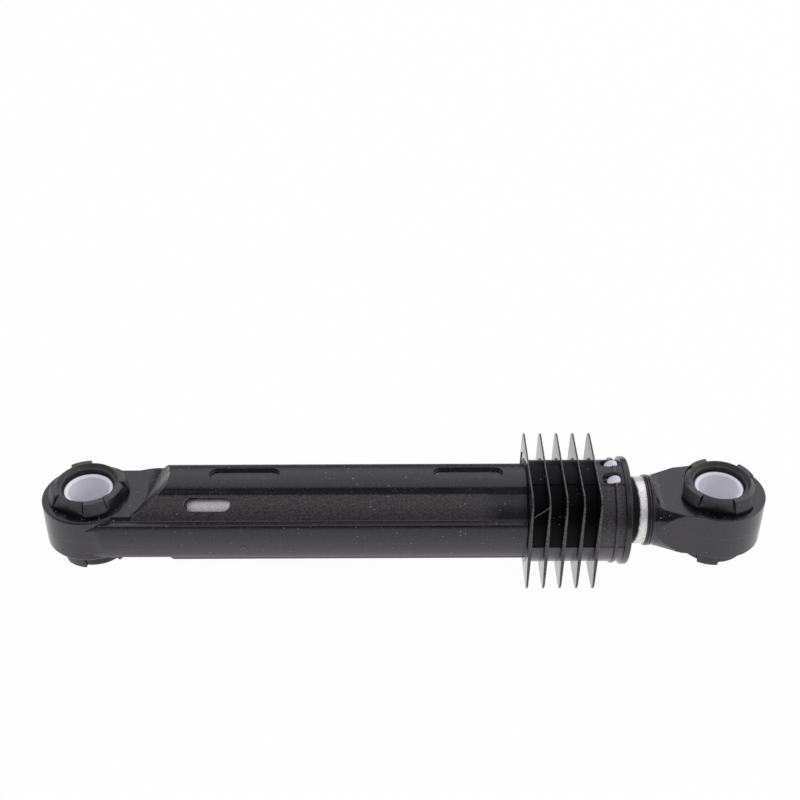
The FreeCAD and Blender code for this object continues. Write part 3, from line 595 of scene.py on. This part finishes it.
# Lint: two loose fibres of cotton, about a tenth of a millimetre thick. One is caught between the first
# two fins and one lies curled on the rib.
LINT_R = 0.045
LINT_STEPS, LINT_SIDES = 40, 6
LINT_BLUNT, LINT_TIP = 8, 1e-6
LINT_ASIDE = (0.0, 0.3, 1.0)
LINT_UNEVEN = 0.8 * MM
LINT_ROUTES = {
    "lint_between_fins": [(128.8, -17.6, 11.2), (131.0, -18.0, 13.8), (132.6, -17.7, 14.4),
                          (134.2, -17.4, 15.9)],
    "lint_curl_on_rib": [(45.9, -14.6, -3.6), (44.6, -15.4, 0.4), (47.9, -15.5, -0.4),
                         (47.6, -14.0, -5.6)],
}


def banded_surface(name, points):
    """Surface of a grid (steps along, steps round, xyz), joined round each ring but open at its ends."""
    index = np.arange(points.size // 3).reshape(points.shape[:2])
    turned = np.roll(index, -1, 1)
    return grid_piece(name, points, np.stack([index[:-1], turned[:-1], turned[1:], index[1:]], -1))


def fibre(name, route):
    """Tube along a cubic curve with four control points: rings square to its tangent, which thin to a
    point at each end."""
    t = np.linspace(0, 1, LINT_STEPS)[:, None]
    a, b, c, d = np.array(route)
    line = (1 - t) ** 3 * a + 3 * t * (1 - t) ** 2 * b + 3 * t ** 2 * (1 - t) * c + t ** 3 * d
    tangent = np.gradient(line, axis=0)
    side = np.cross(tangent, LINT_ASIDE)
    side /= np.linalg.norm(side, axis=1, keepdims=True)
    over = np.cross(side, tangent / np.linalg.norm(tangent, axis=1, keepdims=True))
    angle = np.linspace(0, 2 * np.pi, LINT_SIDES, endpoint=False)[None, :, None]
    radius = LINT_R * np.sqrt(np.maximum(1 - (2 * t - 1) ** LINT_BLUNT, LINT_TIP))[:, None]
    ring = side[:, None] * np.cos(angle) + over[:, None] * np.sin(angle)
    return banded_surface(name, line[:, None] + radius * ring)


# Cotton fibre: pale grey, matt, a little uneven along its length.
cotton, tree, shader, where = new_material("cotton_lint", 0.9)
uneven = add_node(tree, "ShaderNodeTexNoise", {"Vector": where, "Scale": 1 / LINT_UNEVEN, "Detail": 1.0})
tone = add_node(tree, "ShaderNodeMix", {"Factor": uneven.outputs["Fac"], "A": linear("#7d7a74"),
                                        "B": linear("#c6c3bc")}, data_type="RGBA")
tree.links.new(tone.outputs["Result"], shader.inputs["Base Color"])
for lint_name, lint_route in LINT_ROUTES.items():
    place(fibre(lint_name, lint_route), "housing", "lining_foam", cotton)

# Floor: a white table, tilted in this frame because the damper lies on the first fin's lower
# edge and on the start of the pad under its body.
REST_HEEL = (24.5 * MM, -15.1 * MM)
REST_FIN = (128.85 * MM, -17.57 * MM)
FLOOR_GLOW = 0.975
FLOOR_SPAN = 6.0
floor_slope = (REST_FIN[1] - REST_HEEL[1]) / (REST_FIN[0] - REST_HEEL[0])
span = np.array([-FLOOR_SPAN, FLOOR_SPAN])
corner_x, corner_y = [a.ravel() for a in np.meshgrid(span, span, indexing="ij")]
corner_z = REST_HEEL[1] + floor_slope * (corner_x - REST_HEEL[0])
floor_mesh = bpy.data.meshes.new("white_table")
floor_mesh.from_pydata(np.stack([corner_x, corner_y, corner_z], 1), [], [(0, 2, 3, 1)])
floor = new_object("white_table", floor_mesh)
# White paper that glows for the eye and for reflections, so it stays white round the soft shadow.
paper, tree, shader, where = new_material("white_paper", 0.9)
shader.inputs["Base Color"].default_value = linear("#f2f2f4")
rays = add_node(tree, "ShaderNodeLightPath")
seen = add_node(tree, "ShaderNodeMath", {0: rays.outputs["Is Camera Ray"],
                                         1: rays.outputs["Is Glossy Ray"]}, operation="MAXIMUM")
share = add_node(tree, "ShaderNodeMath", {0: seen.outputs[0], 1: FLOOR_GLOW}, operation="MULTIPLY")
glow = add_node(tree, "ShaderNodeEmission", {"Color": (1, 1, 1, 1), "Strength": 1.0})
mix = add_node(tree, "ShaderNodeMixShader", {0: share.outputs[0], 1: shader.outputs[0], 2: glow.outputs[0]})
tree.links.new(mix.outputs[0], tree.nodes["Material Output"].inputs["Surface"])
floor_mesh.materials.append(paper)

# Light: a white tent over the table, brightest behind, with a softer light above its dim front and a
# dark foot. It only lights: the camera looks through it at the plain white surround.
TENT_RADIUS, TENT_FOOT = 5.0, -0.1
TENT_ROWS, TENT_COLUMNS = 16, 48
TENT_GLOW = 1.2
# Share of the glow from the back's foot (0) over the top (0.5) to the front's foot (1).
TENT_LEVELS = [(0.05, 0.12), (0.19, 0.92), (0.38, 1.0), (0.50, 0.50), (0.57, 0.50), (0.63, 0.68),
               (0.69, 0.62), (0.76, 0.30), (0.85, 0.20), (1.0, 0.10)]
TENT_RIGHT = 0.55
RIGHT_BEGINS, RIGHT_FULL = 0.1, 0.8
turn_round = np.linspace(0, 2 * np.pi, TENT_COLUMNS, endpoint=False)[None]
lift = np.linspace(TENT_FOOT, np.pi / 2, TENT_ROWS)[:, None]
dome = np.stack([np.cos(lift) * np.cos(turn_round), np.cos(lift) * np.sin(turn_round),
                 np.sin(lift) + 0 * turn_round], -1)
tent = banded_surface("light_tent", TENT_RADIUS / MM * dome)
tent.visible_camera = False
# White cloth lit from outside: its glow follows the angle over the top, and grows to the right.
cloth, tree, shader, where = new_material("lit_white_cloth", 1.0)
toward = add_node(tree, "ShaderNodeVectorMath", {0: where}, operation="NORMALIZE")
aim = add_node(tree, "ShaderNodeSeparateXYZ", {"Vector": toward.outputs[0]})
over = add_node(tree, "ShaderNodeMath", {0: aim.outputs["Z"], 1: aim.outputs["Y"]}, operation="ARCTAN2")
half_turn = add_node(tree, "ShaderNodeMath", {0: over.outputs[0], 1: 1 / math.pi}, operation="MULTIPLY")
levels = add_node(tree, "ShaderNodeValToRGB", {"Fac": half_turn.outputs[0]})
for along, _ in TENT_LEVELS[1:-1]:
    levels.color_ramp.elements.new(along)
for element, (along, brightness) in zip(levels.color_ramp.elements, TENT_LEVELS):
    element.position = along
    element.color = (brightness, brightness, brightness, 1.0)
rightward = add_node(tree, "ShaderNodeMapRange", {"Value": aim.outputs["X"], "From Min": RIGHT_BEGINS,
                                                  "From Max": RIGHT_FULL, "To Max": TENT_RIGHT})
shares = add_node(tree, "ShaderNodeMath", {0: levels.outputs["Color"], 1: rightward.outputs[0]},
                  operation="ADD")
level_of_light = add_node(tree, "ShaderNodeMath", {0: shares.outputs[0], 1: TENT_GLOW},
                          operation="MULTIPLY")
glow = add_node(tree, "ShaderNodeEmission", {"Color": linear("#faf7ff"),
                                             "Strength": level_of_light.outputs[0]})
tree.links.new(glow.outputs[0], tree.nodes["Material Output"].inputs["Surface"])
tent.data.materials.append(cloth)
world = bpy.data.worlds.new("white_surround")
world.use_nodes = True
world.node_tree.nodes["Background"].inputs["Color"].default_value = linear("#fcfaff")
world.node_tree.nodes["Background"].inputs["Strength"].default_value = 1.0
bpy.context.scene.world = world

# Camera: a 60 mm lens that looks down at 35 degrees, fitted to the photograph's outline of the eyes,
# the collar and the fins.
camera = bpy.data.cameras.new("camera")
camera.lens, camera.sensor_width = 59.893, 36.0
camera.clip_start = 0.01
eye_point = np.array([88.61, -305.38, 256.76]) * MM
pitch, yaw, roll = np.radians([35.304, 0.57, 0.145])
forward = np.array([math.sin(yaw) * math.cos(pitch), math.cos(yaw) * math.cos(pitch), -math.sin(pitch)])
level = np.array([math.cos(yaw), -math.sin(yaw), 0.0])
upward = np.cross(level, forward)
right = level * math.cos(roll) + upward * math.sin(roll)
up = upward * math.cos(roll) - level * math.sin(roll)
stand = np.eye(4)
stand[:3, 0], stand[:3, 1], stand[:3, 2], stand[:3, 3] = right, up, -forward, eye_point
camera_object = new_object("camera", camera)
camera_object.matrix_world = stand.T
bpy.context.scene.camera = camera_object
bpy.context.scene.view_settings.view_transform = "Standard"
